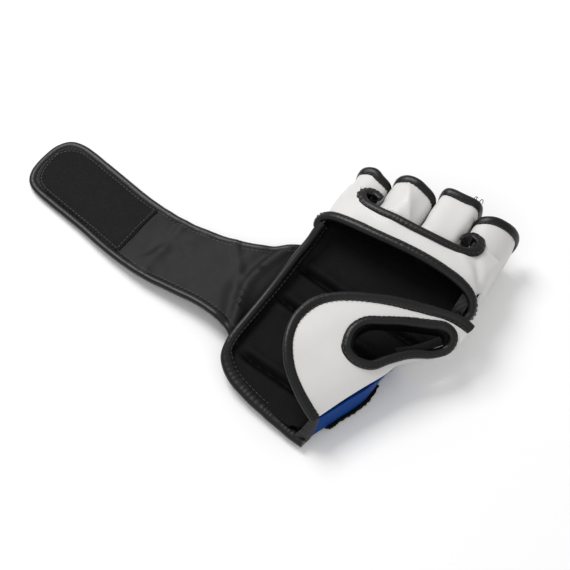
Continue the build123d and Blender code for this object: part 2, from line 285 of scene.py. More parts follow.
def stitches(name, path, normals, pitch=3.3, length=2.3, radius=0.28):
    """Row of short thread stitches that follow a path on a surface."""
    run = run_along(path)
    along, side, up = frames_on(path, normals)
    vertices, faces = [], []
    for place in np.arange(pitch / 2, run[-1], pitch):
        i = min(int(np.searchsorted(run, place)), len(path) - 1)
        share = (place - run[i - 1]) / max(run[i] - run[i - 1], 1e-6)
        centre = path[i - 1] + (path[i] - path[i - 1]) * share
        start = len(vertices)
        for step, size in STITCH_RINGS:
            for k in range(STITCH_SIDES):
                a = 2 * math.pi * k / STITCH_SIDES
                vertices.append(centre + along[i] * length * step
                                + (side[i] * math.cos(a) + up[i] * math.sin(a)) * radius * size)
        faces += quads(len(STITCH_RINGS), STITCH_SIDES, True, start, True)
        last = start + (len(STITCH_RINGS) - 1) * STITCH_SIDES
        faces.append([start + k for k in range(STITCH_SIDES)])
        faces.append([last + k for k in reversed(range(STITCH_SIDES))])
    return make_object(name, vertices, faces, THREAD)


# ---- materials ----
def new_material(name, colour, roughness, shine=0.5, coat=0.0):
    """Plain material with its node tree and its shader."""
    material = bpy.data.materials.new(name)
    material.use_nodes = True
    shader = material.node_tree.nodes["Principled BSDF"]
    shader.inputs["Base Color"].default_value = (*colour, 1)
    shader.inputs["Roughness"].default_value = roughness
    shader.inputs["Specular IOR Level"].default_value = shine
    shader.inputs["Coat Weight"].default_value = coat
    return material, material.node_tree, shader


def textured(name, colour, roughness, **uniform):
    """New material together with the place of each point on its object."""
    material, tree, shader = new_material(name, colour, roughness, **uniform)
    return material, tree, shader, add_node(tree, "ShaderNodeTexCoord").outputs["Object"]


def add_node(tree, kind, **values):
    node = tree.nodes.new(kind)
    for key, value in values.items():
        if key in node.inputs:
            node.inputs[key].default_value = value
        else:
            setattr(node, key, value)
    return node


def texture(tree, place, kind, **values):
    """Texture that is laid out by a place socket."""
    node = add_node(tree, f"ShaderNodeTex{kind}", **values)
    tree.links.new(place, node.inputs["Vector"])
    return node


def add_bump(tree, shader, heights, distance):
    """Stack bump layers, each (height socket, strength), onto a shader."""
    previous = None
    for socket, strength in heights:
        bump = add_node(tree, "ShaderNodeBump")
        bump.inputs["Strength"].default_value = strength
        bump.inputs["Distance"].default_value = distance
        tree.links.new(socket, bump.inputs["Height"])
        if previous:
            tree.links.new(previous.outputs["Normal"], bump.inputs["Normal"])
        previous = bump
    tree.links.new(previous.outputs["Normal"], shader.inputs["Normal"])


def tint(tree, shader, drift, colour, shade):
    """Colour that drifts with a texture between itself and a darker tone."""
    low = tuple(c * shade for c in colour)
    ramp = add_node(tree, "ShaderNodeValToRGB")
    ramp.color_ramp.elements[0].position = 0.3
    ramp.color_ramp.elements[1].position = 0.7
    ramp.color_ramp.elements[0].color = (*low, 1)
    ramp.color_ramp.elements[1].color = (*colour, 1)
    tree.links.new(drift.outputs["Fac"], ramp.inputs["Fac"])
    tree.links.new(ramp.outputs["Color"], shader.inputs["Base Color"])


def leather(name, colour, roughness, shade=0.93, grain=0.18, crease=0.25, **uniform):
    """Synthetic leather: fine pebble grain, faint creases and slow colour drift."""
    material, tree, shader, place = textured(name, colour, roughness, **uniform)
    pebbles = texture(tree, place, "Voronoi", Scale=1500.0)
    soft = texture(tree, place, "Noise", Scale=85.0, Detail=4.0, Roughness=0.55)
    drift = texture(tree, place, "Noise", Scale=26.0, Detail=3.0)
    add_bump(tree, shader, [(pebbles.outputs["Distance"], grain), (soft.outputs["Fac"], crease)], 0.0004)
    tint(tree, shader, drift, colour, shade)
    return material


def fabric(name, colour, roughness, threads=5200.0, strength=0.5, shade=0.75, **uniform):
    """Lining cloth: fine diagonal twill with a slow drift in tone."""
    material, tree, shader, place = textured(name, colour, roughness, **uniform)
    turn = add_node(tree, "ShaderNodeMapping")
    turn.inputs["Rotation"].default_value = (0.0, 0.0, math.radians(38))
    tree.links.new(place, turn.inputs["Vector"])
    turned = turn.outputs["Vector"]
    twill = texture(tree, turned, "Wave", Scale=threads / 20, Distortion=1.2, Detail=1.0)
    cross = texture(tree, turned, "Wave", Scale=threads / 20, Distortion=1.2, bands_direction="Y")
    drift = texture(tree, turned, "Noise", Scale=60.0, Detail=5.0)
    heights = [(twill.outputs["Fac"], strength), (cross.outputs["Fac"], strength * 0.6),
               (drift.outputs["Fac"], strength * 0.6)]
    add_bump(tree, shader, heights, 0.00025)
    tint(tree, shader, drift, colour, shade)
    return material


def fuzz(name, colour, roughness, scale, strength, **uniform):
    """Hook or loop tape: a field of tiny points."""
    material, tree, shader, place = textured(name, colour, roughness, **uniform)
    dots = texture(tree, place, "Voronoi", Scale=scale)
    rows = texture(tree, place, "Wave", Scale=120.0, Distortion=0.4, bands_direction="Y")
    drift = texture(tree, place, "Noise", Scale=70.0, Detail=5.0)
    heights = [(dots.outputs["Distance"], strength), (rows.outputs["Fac"], strength * 0.5)]
    add_bump(tree, shader, heights, 0.0006)
    tint(tree, shader, drift, colour, 0.7)
    return material


WHITE = leather("white_leather", (0.66, 0.65, 0.635), 0.45, coat=0.05)
BLUE = leather("blue_leather", (0.0, 0.04, 0.215), 0.45, shade=0.8, shine=0.06)
BLACK = leather("black_leather", (0.009, 0.009, 0.0095), 0.45, shade=0.7, shine=0.4)
TAPE = leather("black_binding", (0.006, 0.006, 0.0063), 0.36, shade=0.6, grain=0.1, crease=0.6, shine=0.3)
LINING = fabric("black_lining", (0.0032, 0.0031, 0.0031), 0.58, shine=0.1)
SATIN = fabric("strap_lining", (0.006, 0.006, 0.0063), 0.44, threads=9000.0, strength=0.3, shine=0.22)
HOOK = fuzz("hook_tape", (0.0045, 0.0045, 0.0048), 0.7, 1100.0, 0.8, shine=0.2)
LOOP = fuzz("loop_tape", (0.006, 0.006, 0.006), 0.95, 1600.0, 0.9, shine=0.15)
ELASTIC = fabric("elastic", (0.02, 0.02, 0.021), 0.7, threads=2600.0, strength=0.8)
THREAD = leather("black_thread", (0.028, 0.028, 0.029), 0.5, shade=0.8)


def label(nodes):
    """Hides the CAD nodes that a piece replaces."""
    if nodes:
        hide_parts(*nodes)


def on_body(obj, body, nodes=()):
    """Piece that moves with one body."""
    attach(obj, body)
    label(nodes)


def trim(obj, *nodes):
    """Tape or thread on the hand."""
    on_body(obj, "glove", nodes)


def bending(obj, a, b, start, end, slot, nodes=(), fill=None):
    """Bakes a piece's placement into its mesh and hides the CAD nodes that it replaces."""
    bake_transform(obj)
    label(nodes)


# ---- padded back of the hand ----
def station_at(y):
    """Measures of the padded back at one place along the hand."""
    table = np.array(BACK_STATIONS, float)
    return [np.interp(y, table[:, 0], table[:, k]) for k in range(1, 7)]


# How far the foot of the thumb-side wall stands out past its rim, along the hand
WALL_FOOT = [
    (-146, 2.6), (-136, 2.2), (-120, 0.8), (-101, 0.2), (-87, -2.4), (-76, -6.5), (-65, -9),
    (-42, -12), (-20, -11), (0, -8), (26, -6)]


def foot_x(y):
    """Where the thumb-side wall meets the underside."""
    return station_at(y)[2] + smooth_value(WALL_FOOT, y)


def under_curve(y):
    """Outer underside of the padded back at one place along the hand, ulnar to radial."""
    ux, uz, rx, rz, base, _ = station_at(y)
    foot = float(foot_x(y)) - rx
    return [(ux, uz), (ux - 0.6, base + 0.62 * (uz - base)), (ux + 3.4, base + 0.22 * (uz - base)),
            (ux + 14, base + 0.3), ((ux + rx) / 2, base), (rx + foot - 7, base + 0.1),
            (rx + foot - 1.2, base + 0.6), (rx + foot * 0.82, base + 0.16 * (rz - base)),
            (rx + foot * 0.36, base + 0.6 * (rz - base)), (rx, rz)]


def lined_curve(y):
    """Lining face that the hand lies on, ulnar to radial."""
    ux, uz, rx, rz, _, top = station_at(y)
    return [(ux + 2.2, uz + 0.6), (ux + 4.2, top + 0.5 * (uz - top)), (ux + 10, top + 0.12 * (uz - top)),
            (ux + 22, top - 0.6), ((ux + rx) / 2, top - 1.0), (rx - 20, top - 0.4),
            (rx - 9, top + 0.14 * (rz - top)), (rx - 4, top + 0.5 * (rz - top)), (rx - 2.4, rz)]


# The slanting wrist edge (x, y); past the corner, its wall leans toward the fingers
WRIST_CORNER_X = 5
WRIST_LEAN = 9.5
WRIST_SEARCH_STEPS = 6
WRIST_EDGE = [
    (-66, -104), (-58.5, -112), (-55, -119), (-47, -126.5), (-28, -132.5), (-5, -137.3), (17, -140.2),
    (40, -142)]


def wrist_y(x):
    return smooth_value(WRIST_EDGE, x)


def back_grid(curve, y_from, y_to, rows, cols, wrist=None):
    """Grid of cross curves; with a wrist margin, the near end follows the slanting wrist edge."""
    grid = np.zeros((rows, cols, 3))
    for j in range(cols):
        near = y_from
        if wrist is not None:
            near = -140.0
            for _ in range(WRIST_SEARCH_STEPS):
                x, z = through(curve(near), cols)[j]
                near = float(wrist_y(x))
                if x > WRIST_CORNER_X:
                    near += WRIST_LEAN * float(ease(z, 4, 26)) + wrist
        grid[:, j, 1] = near + (y_to - near) * np.linspace(0, 1, rows)
    cache = {}
    for i in range(rows):
        for j in range(cols):
            key = round(grid[i, j, 1], 1)
            if key not in cache:
                cache[key] = through(curve(key), cols)
            grid[i, j, 0], grid[i, j, 2] = cache[key][j]
    return grid


def out_of_hand(grid):
    """Direction away from the inside of the hand."""
    return unit((grid - np.array([8.0, 0.0, 26.0])) * np.array([1.0, 0.0, 1.0]))


def make_back_cover():
    cols = 90
    grid = back_grid(under_curve, -62, 26, 70, cols)
    x, y = grid[..., 0], grid[..., 1]
    flat = ease(grid[..., 2], 10, 2)
    across = sum(bump_at(y, place, 1.6) for place in COVER_GROOVES_Y)
    between = sum(bump_at(x, place, 1.5) for place in COVER_GROOVES_X) * ease(y, -16, -10)
    lift = 1.9 * np.clip(across + between, 0, 1) * flat + 0.25 * ripple(grid, 14, 3.0) * (1 - flat)
    grid[..., 2] += np.maximum(lift, 0) * flat
    grid += grid_normals(grid) * (0.25 * ripple(grid, 16, 1.0) * (1 - flat))[..., None]
    grid[..., 2] = np.maximum(grid[..., 2], 0.05)
    # Under the fingers the leather turns in to the lining
    rim = grid[-1] * np.array([1, 0, 1]) + np.array([0, 27.0, 0])
    lined = through(lined_curve(26), cols)
    turned = np.column_stack([lined[:, 0], np.full(cols, 27.2), lined[:, 1]])
    end = np.stack([rim + (turned - rim) * t for t in np.linspace(0, 1, 8)])
    grid = np.concatenate([grid, end])
    cover = sheet("back_shell", grid, SHELL_THICK, WHITE, out_of_hand(grid))
    on_body(cover, "glove", ["back_cover", "knuckle_pad", "hand_back_pad"])


def make_cuff_cover():
    grid = back_grid(under_curve, -146, -61.5, 60, 90, wrist=1.8)
    flat = ease(grid[..., 2], 10, 2)
    grid[..., 2] += 0.8 * (bump_at(grid[..., 1], CUFF_GROOVE_Y, 1.8) * flat)
    grid += grid_normals(grid) * (0.3 * ripple(grid, 18, 7.0) * (1 - flat))[..., None]
    cover = sheet("cuff_shell", grid, SHELL_THICK, BLUE, out_of_hand(grid))
    on_body(cover, "glove", ["cuff_cover", "wrist_pad", "cuff_pad"])


def make_back_lining():
    grid = back_grid(lined_curve, -146, 25.5, 150, 84, wrist=0.0)
    x, y = grid[..., 0], grid[..., 1]
    slant = y + 0.09 * (x + 30)
    floor = 1 - ease(np.abs(x - 2), 44, 56)
    grooves = sum(bump_at(slant, place, 2.2) for place in LINING_GROOVES_Y)
    lips = sum(bump_at(slant, place + side, 3.4) for place in LINING_GROOVES_Y for side in (-5.5, 5.5))
    grid[..., 2] += (0.9 * lips - 3.6 * grooves) * floor
    grid[..., 2] += 0.7 * ripple(grid, 22, 4.0) * floor + 0.28 * ripple(grid, 7, 9.0)
    lining = sheet("hand_lining", grid, BACK_LINING_THICK, LINING, -out_of_hand(grid))
    on_body(lining, "glove", ["back_lining"])


EDGE = [
    (-47.2, -10, 38.6), (-48.6, -16, 35.2), (-49.6, -24, 31.4), (-51.8, -36, 27.4), (-53.4, -50, 23.4),
    (-55, -66, 20), (-57, -84, 17.6), (-58.6, -99, 16), (-59, -109, 14.2), (-57.2, -117.5, 11.6),
    (-51.5, -124.5, 9.6), (-42, -130, 8.2), (-28, -134.2, 7), (-10, -137.8, 5.8), (6, -140.6, 5),
    (18.5, -142, 4.6)]


def make_edge_binding():
    path = through(EDGE, 300)
    outward = unit(np.cross(np.gradient(path, axis=0), UP))
    lean = ease(path[:, 2], 30, 10)[:, None]
    normals = unit(UP * (0.55 + 0.45 * lean) - outward * (0.75 * (1 - lean)))
    flat = ease(path[:, 1], -112, -124)
    width = EDGE_TAPE[0] + 2.4 * flat
    path = path + np.column_stack([0.2 * flat, 1.2 * flat, 0 * flat])
    tape = binding("edge_tape", path, normals, width, EDGE_TAPE[1], TAPE, pucker=0.22 + 0.25 * flat,
                   seed=1.0)
    trim(tape, "edge_binding")
    _, side, up = frames_on(path, normals)
    seam = path - side * (width / 2 - 1.0)[:, None] + up * 2.1
    trim(stitches("edge_thread", seam, normals))
    # Tape folded up over the wrist corner, narrower toward its top
    corner = through([(14.8, -140.6, 4.8), (17.2, -138.2, 11), (19.2, -134.6, 19), (20.6, -130.6, 28.4)], 40)
    outward = np.tile([0.45, -0.8, 0.35], (40, 1))
    width = 10.5 - 5.5 * np.linspace(0, 1, 40) ** 1.2
    fold = binding("corner_tape", corner, unit(outward), width, 3.6, TAPE, pucker=0.2, seed=4.0)
    trim(fold)


PATCH_NEAR_Y = -124
PATCH_LENGTH = 44
PATCH_LEFT_X = -22
PATCH_THICK = 1.9


def make_loop_patch():
    """Fuzzy tape under the cuff, its thumb edge frayed and turned up a little."""
    rows, cols = 50, 70
    grid = np.zeros((rows, cols, 3))
    for i, v in enumerate(np.linspace(0, 1, rows)):
        y = PATCH_NEAR_Y + PATCH_LENGTH * v
        right = float(foot_x(y)) + 1.9
        for j, u in enumerate(np.linspace(0, 1, cols)):
            x = PATCH_LEFT_X + (right - PATCH_LEFT_X) * u
            grid[i, j] = (x, y, 0.15 + 2.2 * ease(u, 0.9, 1.0))
    frayed = 0.5 * ripple(grid, 2.2, 2.0)
    edge = ease(np.linspace(0, 1, cols), 0.9, 1.0)[None, :]
    grid[..., 0] += frayed * edge * 1.6
    grid[..., 2] += np.abs(frayed) * (0.35 + edge)
    grid[..., 2] += PATCH_THICK
    patch = sheet("loop_tape_patch", grid, PATCH_THICK, LOOP, UP)
    on_body(patch, "glove", ["loop_patch"])


# ---- palm band and the side walls that it runs into ----
# The arch across the hand (x, z) and the edge of the band toward the wrist (x, y)
ARCH = [
    (-46.5, 9), (-49.6, 18), (-50.4, 28), (-50, 37.5), (-47, 43.6), (-40, 47.2), (-27, 50.4),
    (-5, 52.6), (20, 53.4), (40, 52.2), (55, 49), (64.2, 44.2), (69, 38), (70.4, 30), (69.8, 19),
    (66, 9)]
BAND_NEAR = [
    (-52, -10.5), (-49, -8), (-41, -5.8), (-27, -5.6), (-5, -5.4), (20, -5.2), (40, -5.2), (54, -6),
    (63, -8), (69, -12.5), (71.5, -20)]


# Folds on the thumb side of the band: direction (x, y), distance, width, height
BAND_FOLDS = [(0.55, 0.83, 38.5, 3.2, -3.0), (0.40, 0.92, 29.5, 3.6, 2.6), (0.75, 0.66, 52.0, 3.0, -2.4)]


def band_grid(rows, cols):
    """Arch of the palm band, cut back over the middle fingers."""
    arch = through(ARCH, cols)
    near = smooth_value(BAND_NEAR, np.clip(arch[:, 0], -52, 71.4))
    wall = ease(arch[:, 1], 39, 30)
    near = np.where(arch[:, 0] < 0, near * (1 - wall) - 11 * wall, near * (1 - wall) - 22 * wall)
    slot = ease(arch[:, 0], -43, -33) * (1 - ease(arch[:, 0], 48.5, 58))
    far = 28.0 - 13.6 * slot
    grid = np.zeros((rows, cols, 3))
    for i, v in enumerate(np.linspace(0, 1, rows)):
        y = near + (far - near) * v
        drop = ease(y, 11, 28) * (1 - slot)
        grid[i, :, 0] = arch[:, 0] + drop * np.where(arch[:, 0] < 0, 1.4, -0.6)
        grid[i, :, 1] = y
        grid[i, :, 2] = arch[:, 1] - drop * 4.2 * ease(arch[:, 1], 34, 45)
    return grid


def make_palm_band():
    grid = band_grid(56, 190)
    x, y = grid[..., 0], grid[..., 1]
    thumb_side = ease(x, 40, 66)
    height = 0.55 * ripple(grid, 20, 5.0)
    for across, along, distance, width, size in BAND_FOLDS:
        height = height + size * (bump_at(x * across + y * along, distance, width) * thumb_side)
    sag = bump_at(y, 3.5, 7.5) * ease(x, -38, -18) * (1 - ease(x, 45, 60))
    height = height - 0.7 * sag
    grid = grid + grid_normals(grid) * face_out(grid, out_of_hand(grid)) * height[..., None]
    band = sheet("palm_band_leather", grid, BAND_THICK, WHITE, out_of_hand(grid))
    on_body(band, "glove", ["palm_band"])
    inner = band_grid(30, 120)
    keep = inner[0, :, 2] > 26
    depth = (4.6 + 2.6 * ease(inner[..., 0], 48, 64))[..., None]
    inner = inner - grid_normals(inner) * face_out(inner, out_of_hand(inner)) * depth
    inner = inner[:, keep]
    lining = sheet("palm_band_inside", inner, 0.9, LINING, -out_of_hand(inner))
    on_body(lining, "glove", ["palm_band_lining"])


BAND_EDGE = [
    (-50.5, -13.5, 36.4), (-51.6, -10.5, 38.6), (-49.5, -7.2, 41.8), (-41.5, -5.4, 46.4),
    (-27, -5.6, 50.2), (-11, -5.8, 52.2), (5, -5.4, 53.2), (20, -5, 53.4), (36, -5.2, 52.6),
    (51, -6, 50), (61, -7.4, 46.2), (67.6, -10.6, 41.8), (70.8, -16, 38), (70.2, -21.2, 35.4)]
SLOT_EDGE = [
    (-22.5, 24.6, 45.2), (-28.5, 26.4, 44.4), (-34, 24.2, 44.8), (-34.6, 18.6, 46.8),
    (-28, 13.6, 48.9), (-16, 12, 51.2), (-4, 12, 52.6), (11, 11.6, 53.2), (27, 12, 53), (39, 13, 51.8),
    (47, 15, 50), (52.3, 19.6, 48), (53.4, 25.6, 46.2), (50.6, 30.6, 45), (45.6, 31.6, 44.6),
    (41.6, 28.6, 44.6), (41, 24.8, 44.8)]


def arch_normals(path):
    """Outward directions of the arch along a path, evened out."""
    arch = through(ARCH, 300)
    slope = np.gradient(arch, axis=0)
    found = []
    for point in path:
        k = int(np.argmin((arch[:, 0] - point[0]) ** 2 + (arch[:, 1] - point[2]) ** 2))
        found.append((-slope[k, 1], 0.0, slope[k, 0]))
    spread = np.pad(np.array(found), ((15, 15), (0, 0)), mode="edge")
    return unit(np.stack([np.convolve(spread[:, k], np.ones(31), "valid") for k in range(3)], axis=1))


def make_ruffle(name, centre, radius, tilt):
    """Gathered leather that fills the turned end of the slot binding."""
    rows, cols = 14, 96
    grid = np.zeros((rows, cols, 3))
    for i, r in enumerate(np.linspace(0.12, 1, rows)):
        for j in range(cols):
            a = 2 * math.pi * j / cols
            pleat = math.sin(8 * a + 1.3 * math.sin(2 * a)) * 0.9 * r
            x, y = radius * r * math.cos(a), radius * r * math.sin(a)
            grid[i, j] = (x, y, -2.6 + 2.4 * r ** 2 + pleat + tilt * x)
    ruffle = sheet(name, grid + np.array(centre), 0.8, TAPE, UP, closed=True)
    trim(ruffle)


def make_band_bindings():
    path = through(BAND_EDGE, 240)
    normals = unit(arch_normals(path) + np.array([0, -0.35, 0]))
    tape = binding("band_edge_tape", path, normals, *BAND_TAPE, TAPE, seed=2.0)
    trim(tape, "palm_band_binding")
    _, side, up = frames_on(path, normals)
    trim(stitches("band_edge_thread", path - side * 2.1 + up * 1.9, normals))
    path = through(SLOT_EDGE, 260)
    normals = unit(arch_normals(path) + np.array([0, 0.25, 0]))
    curl = np.maximum(ease(path[:, 0], -24, -33), ease(path[:, 0], 42, 51))
    tape = binding("slot_tape", path, normals, SLOT_TAPE[0] + 1.4 * curl, SLOT_TAPE[1], TAPE,
                   pucker=0.15 + 0.3 * curl, seed=3.0, seam=1)
    trim(tape, "slot_binding")
    _, side, up = frames_on(path, normals)
    trim(stitches("slot_thread", path + side * 1.8 + up * 1.75, normals))
    make_ruffle("slot_gather_little", (-29, 20.6, 44.4), 5.4, 0.25)
    make_ruffle("slot_gather_index", (46.6, 23.4, 46.6), 6.0, -0.3)


def make_elastic_tab():
    path = through([(63, -9, 40), (62.5, -13, 37.5), (61.8, -18, 33.5), (61, -21, 29)], 14)
    across = [np.array([w, 0, -0.25 * w]) for w in np.linspace(-3.6, 3.6, 9)]
    grid = np.array([[point + shift for shift in across] for point in path])
    tab = sheet("elastic_strip", grid, 1.2, ELASTIC, np.array([0, -0.5, 1.0]))
    on_body(tab, "glove", ["elastic_tab"])


# ---- finger sleeves ----
# Outline of each sleeve across the finger (x, z), edge of its tip (x, y), and y where its pad ends
SLEEVES = {
    "little": (
        [(-48.2, 24), (-48.2, 33), (-45.5, 39.8), (-37, 42.2), (-28.5, 40.4), (-24, 36.5), (-23.4, 26),
         (-24.2, 14), (-29, 7), (-36, 6.2), (-43, 8), (-47, 15)],
        [(-48, 41.5), (-44, 44), (-38, 45), (-31, 42.8), (-22, 41.6)], 37.0),
    "ring": (
        [(-22.4, 25), (-22.2, 36), (-19.8, 43.6), (-13, 46.6), (-5.6, 47.4), (1.5, 44.4), (7.6, 40),
         (9, 32), (8.6, 16), (3.5, 7), (-7, 5.8), (-17, 7), (-21.6, 15)],
        [(-23, 45), (-19, 48), (-12, 50), (-2, 49.2), (5, 48.6), (10, 46.6)], 41.0),
    "middle": (
        [(9.6, 25), (9.8, 37), (12, 44.4), (18, 46.4), (27, 46.4), (35, 45.2), (38.6, 40.4),
         (39.2, 30), (38.8, 15), (34, 7), (24.5, 5.8), (14.5, 7), (10, 15)],
        [(9, 54), (14, 56), (25, 56.2), (33, 57), (40, 58.4)], 46.0),
    "index": (
        [(39.8, 25), (40, 35), (42, 40.8), (48, 43.8), (55, 43.2), (62, 39.4), (67.4, 33), (69.6, 25),
         (69.2, 15), (64.5, 7.4), (54, 5.8), (44.5, 7), (40.2, 15)],
        [(39, 46.6), (44, 50), (52, 53), (60, 55), (69, 57.6)], 45.0)}
SLEEVE_NEAR_Y = 13.0
SLEEVE_GROOVE_Y = 31.0

# Two places at a sleeve's finger hinge, passed along with each sleeve piece
SLEEVE_BLEND = ((0, 21.5, 38), (0, 33.5, 38))


def sleeve_rings(outline, tip, back, rows=36, cols=96):
    """Rings of a finger sleeve from inside the palm to its tip; the foam back stops short of the tip."""
    loop = through(outline, cols, closed=True)
    tips = smooth_value(tip, np.clip(loop[:, 0], tip[0][0], tip[-1][0]))
    low = ease(loop[:, 1], 24, 14)
    ends = tips * (1 - low) + (back + 3) * low
    centre = loop.mean(axis=0)
    rings = np.zeros((rows, cols, 3))
    for i, v in enumerate(np.linspace(0, 1, rows)):
        pinch = 1 - 0.05 * ease(v, 0.75, 1.0) - 0.03 * bump_at(v, 0.35, 0.12) - 0.10 * (1 - ease(v, 0, 0.2))
        rings[i, :, 0] = centre[0] + (loop[:, 0] - centre[0]) * pinch
        rings[i, :, 1] = SLEEVE_NEAR_Y + (ends - SLEEVE_NEAR_Y) * v
        rise = 1 - 0.30 * ease(v, 0.62, 1.0) * low - 0.10 * (1 - ease(v, 0, 0.2))
        rings[i, :, 2] = centre[1] + (loop[:, 1] - centre[1]) * rise
    return rings


def make_sleeve(name, outline, tip, back):
    rings = sleeve_rings(outline, tip, back)
    middle = rings.mean(axis=(0, 1)) * np.array([1, 0, 1])
    outward = unit(rings * np.array([1, 0, 1]) - middle)
    normals = grid_normals(rings, True) * face_out(rings, outward, True)
    low = ease(rings[..., 2], 22, 12)
    groove = bump_at(rings[..., 1], SLEEVE_GROOVE_Y, 1.8) * low
    height = 0.35 * ripple(rings, 13, 6.0) - 1.3 * groove
    if name == "ring":
        # One slanting crease on the palm side
        crease = rings[..., 0] + 0.52 * (rings[..., 1] - 26) + 2.0
        fade = 1 - 0.8 * ease(np.linspace(0, 1, len(rings)), 0.72, 0.9)[:, None]
        height += 2.6 * np.exp(-np.abs(crease) / 4.5) * ease(rings[..., 2], 36, 42) * fade
    rings = rings + normals * height[..., None]
    body = f"finger_{name}"
    skin = sheet(f"{name}_skin", rings, SLEEVE_THICK, WHITE, outward, closed=True)
    bending(skin, "glove", body, *SLEEVE_BLEND, "white_leather", [f"{name}_sleeve", f"{name}_pad"], fill=0.7)
    inner = rings - normals * (1.9 + 11.5 * ease(rings[..., 2], 24, 12))[..., None]
    root = rings[0]
    hem = [root + normals[0] * 0.6 + np.array([0, 3.0, 0]), root + normals[0] * 0.4 - np.array([0, 0.8, 0]),
           root - normals[0] * 2.4 - np.array([0, 0.9, 0])]
    inner = np.concatenate([hem, inner])
    outward = np.concatenate([outward[:3], outward])
    tube_in = sheet(f"{name}_inside", inner, 0.8, LINING, -outward, closed=True)
    bending(tube_in, "glove", body, *SLEEVE_BLEND, "black_lining", [f"{name}_lining"])
    low_end = ease(rings[-1][:, 2], 22, 14)[:, None]
    mouth = rings[-1] - normals[-1] * 0.9
    mouth = mouth + (inner[-1] - mouth) * low_end * 0.5 - np.array([0, 2.6, 0])
    facing = unit(mouth - mouth.mean(axis=0)) * np.array([1, 0, 1])
    side = frames_on(mouth, facing, True)[1]
    seam = -1 if side[0][1] > 0 else 1
    tape = binding(f"{name}_tip_tape", mouth, facing, *TIP_TAPE, TAPE, closed=True, pucker=0.12,
                   seed=float(len(name)), seam=seam)
    bending(tape, "glove", body, *SLEEVE_BLEND, "black_binding", [f"{name}_tip_binding"])
    seam_line = rings[-1] + normals[-1] * 0.75 - np.array([0, 5.6, 0])
    top = rings[-1][:, 2] > 27
    order = np.argsort(seam_line[top][:, 0])
    thread = stitches(f"{name}_tip_thread", seam_line[top][order], normals[-1][top][order])
    bending(thread, "glove", body, *SLEEVE_BLEND, "black_binding")


def make_frayed_threads():
    """Loose ends at the thumb side of the middle sleeve's binding."""
    count = 12
    for number, (x, bend) in enumerate(((31.5, 1.6), (33.5, -0.8), (36.0, 1.2), (38.5, -1.4))):
        path = through([(x, 57, 45.6), (x + 0.5 * bend, 58.9, 47.0), (x + 1.4 * bend, 59.6, 46.2)], count)
        lean = np.tile([0.0, 0.3, 1.0], (count, 1))
        thread = binding(f"frayed_thread_{number + 1}", path, lean, 0.5, 0.45, THREAD)
        bending(thread, "glove", "finger_middle", *SLEEVE_BLEND, "black_binding")


# ---- thumb flap ----
# Plan curves (x, y): its taped edge, the edge of its leather, its hinge side, and the thumb hole
FLAP_EDGE = [
    (20.5, -131.5), (13.5, -129.4), (4.8, -125.4), (-6, -118), (-14.4, -108.4), (-20, -97),
    (-21.8, -84), (-18, -70.2), (-9.8, -60.4), (1, -52.6), (13, -46), (28, -38.8), (44, -33),
    (58.6, -28.6), (67.4, -26.6), (75.5, -26.2)]
FLAP_FIELD = [
    (22, -129), (7.6, -123.2), (-3.6, -115.8), (-12.2, -106), (-17.4, -96), (-18.8, -84), (-15, -71.6),
    (-7.8, -62.6), (2.4, -55.2), (14.4, -48.8), (29.4, -41.8), (45.2, -36), (59.4, -31.8), (75, -29.6)]
FLAP_FOOT = [
    (75, -29.6), (74.6, -34), (73.4, -41), (69.4, -48), (61.4, -57), (53, -66), (47.6, -73),
    (43.6, -83), (36.6, -97), (29.6, -111.5), (22, -129)]
HOLE = [
    (12.6, -80), (11.6, -71), (16, -62), (25, -55.4), (37, -47.4), (50, -40.2), (61.4, -35),
    (68.6, -36.6), (69, -44), (61.4, -52.8), (50.4, -62), (41, -73.4), (33.6, -83.4), (24, -87.4),
    (16, -85.6)]
HOLE_CENTRE = (34.0, -66.0)


def flap_place(xy):
    """Distance along and in from the flap's hinge line."""
    offset = np.asarray(xy) - FLAP_ROOT
    return offset @ FLAP_ALONG, offset @ FLAP_INWARD


def flap_height(xy):
    """Height of the closed flap, raised where it meets the band."""
    along, inward = flap_place(xy)
    return smooth_value(FLAP_PROFILE, inward) + 5.5 * ease(along, 80, 112) * ease(inward, 45, 3)


def at_angles(loop, angles, centre):
    """Points of a closed plan loop in given directions from a centre."""
    offset = loop - np.array(centre)
    found = np.arctan2(offset[:, 1], offset[:, 0])
    order = np.argsort(found)
    return np.stack([np.interp(angles, found[order], loop[order, k], period=2 * math.pi)
                     for k in range(2)], axis=1)


def flap_grid(rows):
    """Rings from the rim of the thumb hole to the outline of the flap."""
    edge = through(FLAP_FIELD, 150)
    outer = np.vstack([edge, through(FLAP_FOOT, 120)[1:-1]])
    offset = outer - np.array(HOLE_CENTRE)
    angles = np.arctan2(offset[:, 1], offset[:, 0])
    rim = at_angles(through(HOLE, 600, closed=True), angles, HOLE_CENTRE)
    inner = HOLE_CENTRE + 1.03 * (rim - HOLE_CENTRE)
    grid = np.zeros((rows, len(outer), 3))
    for i, v in enumerate(np.linspace(0, 1, rows)):
        plan = inner + (outer - inner) * v
        grid[i, :, :2] = plan
        grid[i, :, 2] = flap_height(plan)
    return grid


# Distances from the flap's hinge line, and the height of the hinge, that give the two places passed along
# with each flap piece
FLAP_BLEND_LOW, FLAP_BLEND_HIGH = -3.0, 9.0
FLAP_HINGE_Z = 26.4


def flap_blend(obj, slot, nodes=()):
    middle = FLAP_ROOT + FLAP_ALONG * 50
    low = middle + FLAP_INWARD * FLAP_BLEND_LOW
    high = middle + FLAP_INWARD * FLAP_BLEND_HIGH
    bending(obj, "glove", "thumb_flap", (*low, FLAP_HINGE_Z), (*high, FLAP_HINGE_Z), slot, nodes)


